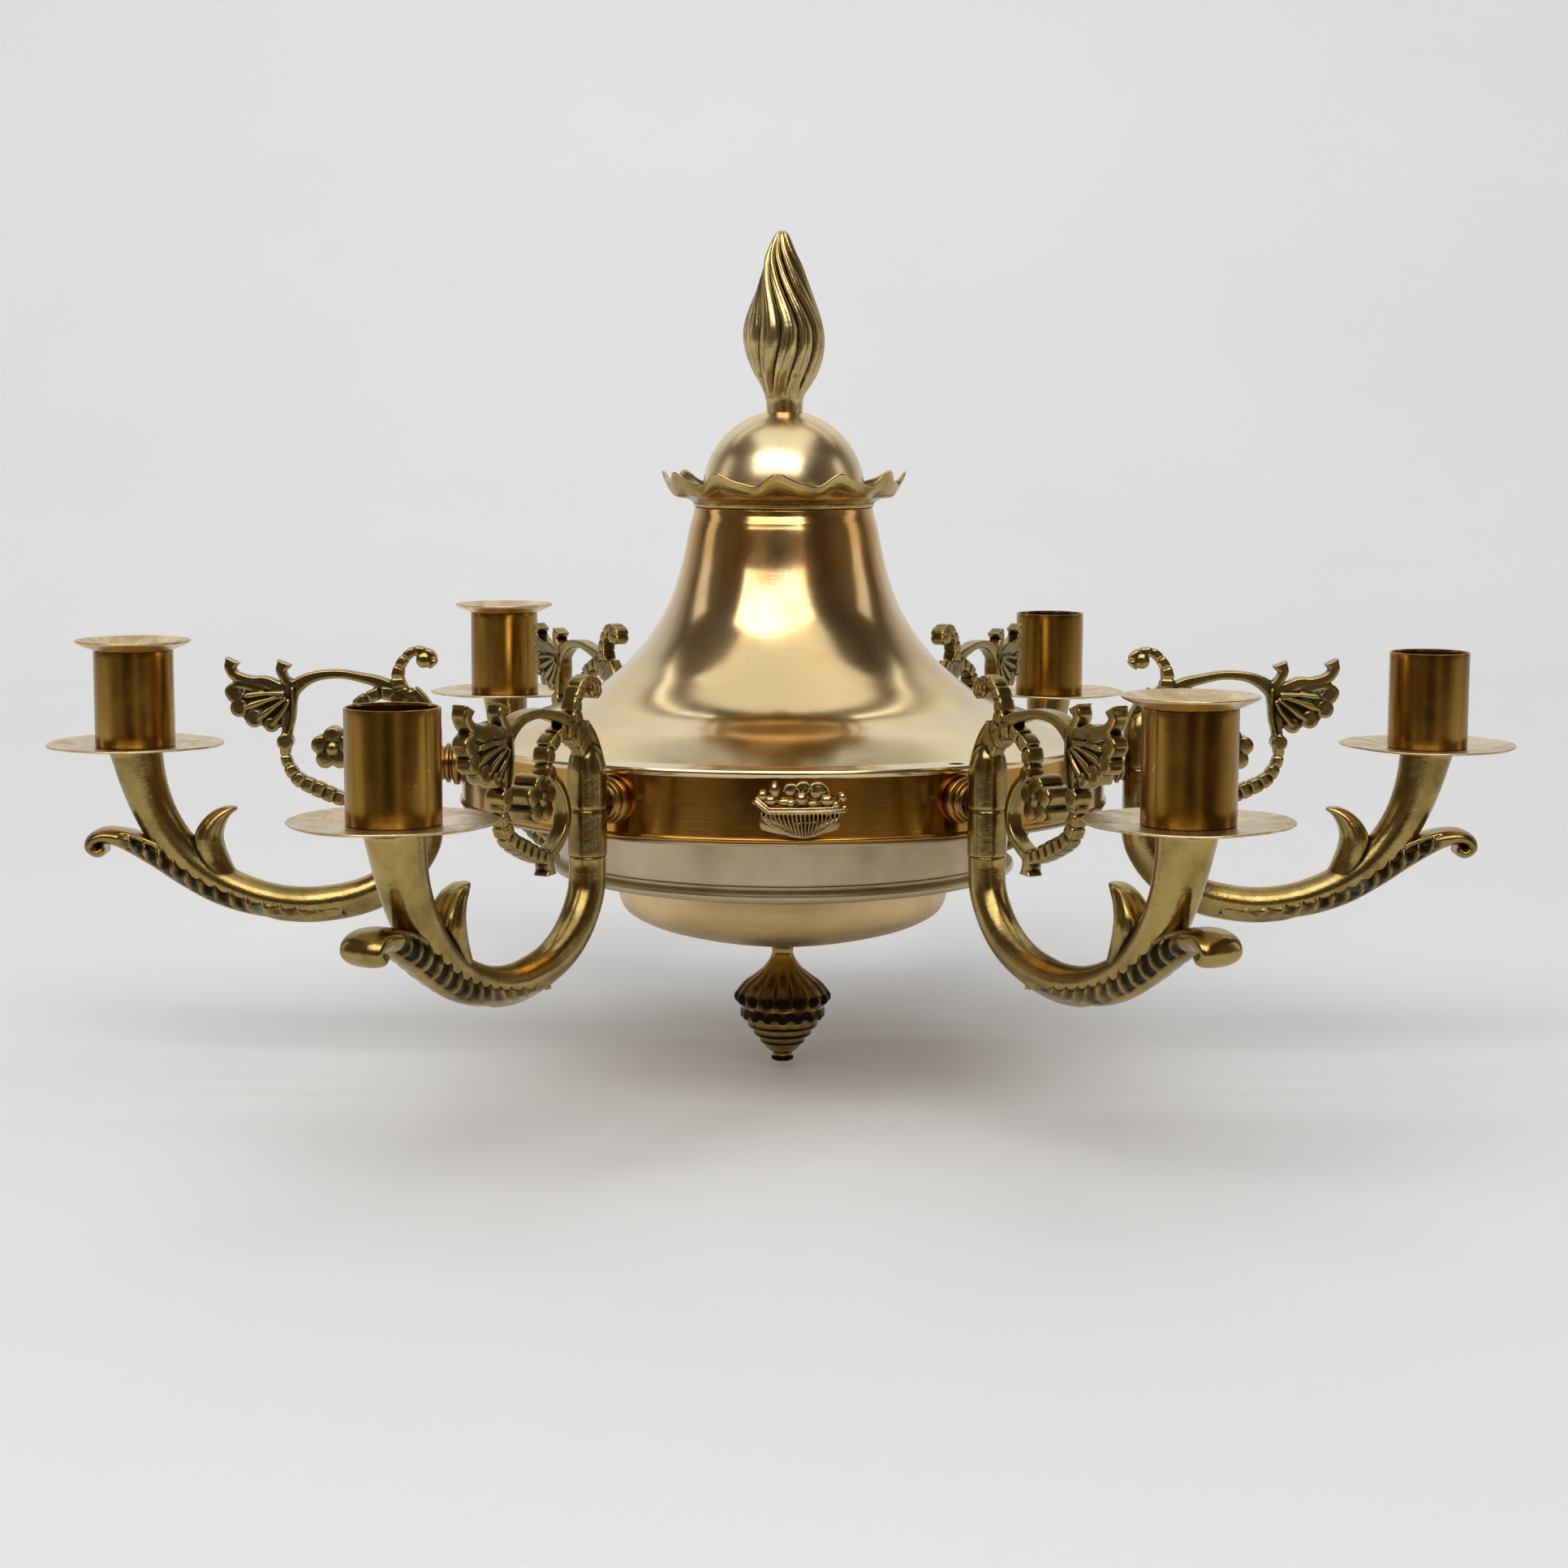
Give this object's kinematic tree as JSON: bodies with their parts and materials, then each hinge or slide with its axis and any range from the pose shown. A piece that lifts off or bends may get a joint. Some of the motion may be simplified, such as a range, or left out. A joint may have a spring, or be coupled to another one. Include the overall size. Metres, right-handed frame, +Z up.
{
  "type": "multi arm chandelier",
  "caption": "Candle chandelier: bell-topped drum with curved branches, pierced scroll brackets, drip plates and candle cups, hung by chain holes in its rim.",
  "frame": {"origin": "centre of the circle of chain holes, on the top face of the bell's rim", "axes": "+Z up along the centre rod, +X along one arm"},
  "size_m": [0.4654, 0.4106, 0.2627],
  "materials": {
    "polished_brass": "mirror polished pale brass",
    "lacquered_brass": "orange-gold lacquered brass, worn",
    "satin_brass": "pale brushed satin",
    "antique_brass": "antique cast brass with dark recesses and verdigris",
    "pale_brass": "pale scratched brass",
    "steel_thread": "plain steel"
  },
  "bodies": {
    "body": {"bell_cover": "polished_brass", "drum_band": "lacquered_brass", "pan_flange": "satin_brass", "lower_pan": "satin_brass", "bottom_dish": "satin_brass", "scalloped_collar": "antique_brass", "dome_cap": "polished_brass", "flame_finial": "antique_brass", "pendant_finial": "antique_brass", "centre_rod": "steel_thread", "rod_nuts": "steel_thread", "arm_studs": "steel_thread", "arm_washers": "steel_thread", "arm_nuts": "steel_thread", "cup_screws": "steel_thread", "basket_applique": "antique_brass", "basket_rivets": "antique_brass", "arm_collar_1": "lacquered_brass", "scroll_bracket_1": "antique_brass", "arm_branch_1": "antique_brass", "drip_plate_1": "pale_brass", "candle_cup_1": "lacquered_brass", "arm_collar_2": "lacquered_brass", "scroll_bracket_2": "antique_brass", "arm_branch_2": "antique_brass", "drip_plate_2": "pale_brass", "candle_cup_2": "lacquered_brass", "arm_collar_3": "lacquered_brass", "scroll_bracket_3": "antique_brass", "arm_branch_3": "antique_brass", "drip_plate_3": "pale_brass", "candle_cup_3": "lacquered_brass", "arm_collar_4": "lacquered_brass", "scroll_bracket_4": "antique_brass", "arm_branch_4": "antique_brass", "drip_plate_4": "pale_brass", "candle_cup_4": "lacquered_brass", "arm_collar_5": "lacquered_brass", "scroll_bracket_5": "antique_brass", "arm_branch_5": "antique_brass", "drip_plate_5": "pale_brass", "candle_cup_5": "lacquered_brass", "arm_collar_6": "lacquered_brass", "scroll_bracket_6": "antique_brass", "arm_branch_6": "antique_brass", "drip_plate_6": "pale_brass", "candle_cup_6": "lacquered_brass"},
    "loose_ring_3": {"candle_ring_3": "pale_brass"},
    "loose_ring_4": {"candle_ring_4": "pale_brass"},
    "loose_ring_6": {"candle_ring_6": "pale_brass"}
  },
  "joints": [
    {"name": "ring_lift_3", "type": "slide", "parent": "body", "child": "loose_ring_3", "axis": [0, 0, 1], "range_m": [0, 0.03]},
    {"name": "ring_lift_4", "type": "slide", "parent": "body", "child": "loose_ring_4", "axis": [0, 0, 1], "range_m": [0, 0.03]},
    {"name": "ring_lift_6", "type": "slide", "parent": "body", "child": "loose_ring_6", "axis": [0, 0, 1], "range_m": [0, 0.03]}
  ]
}
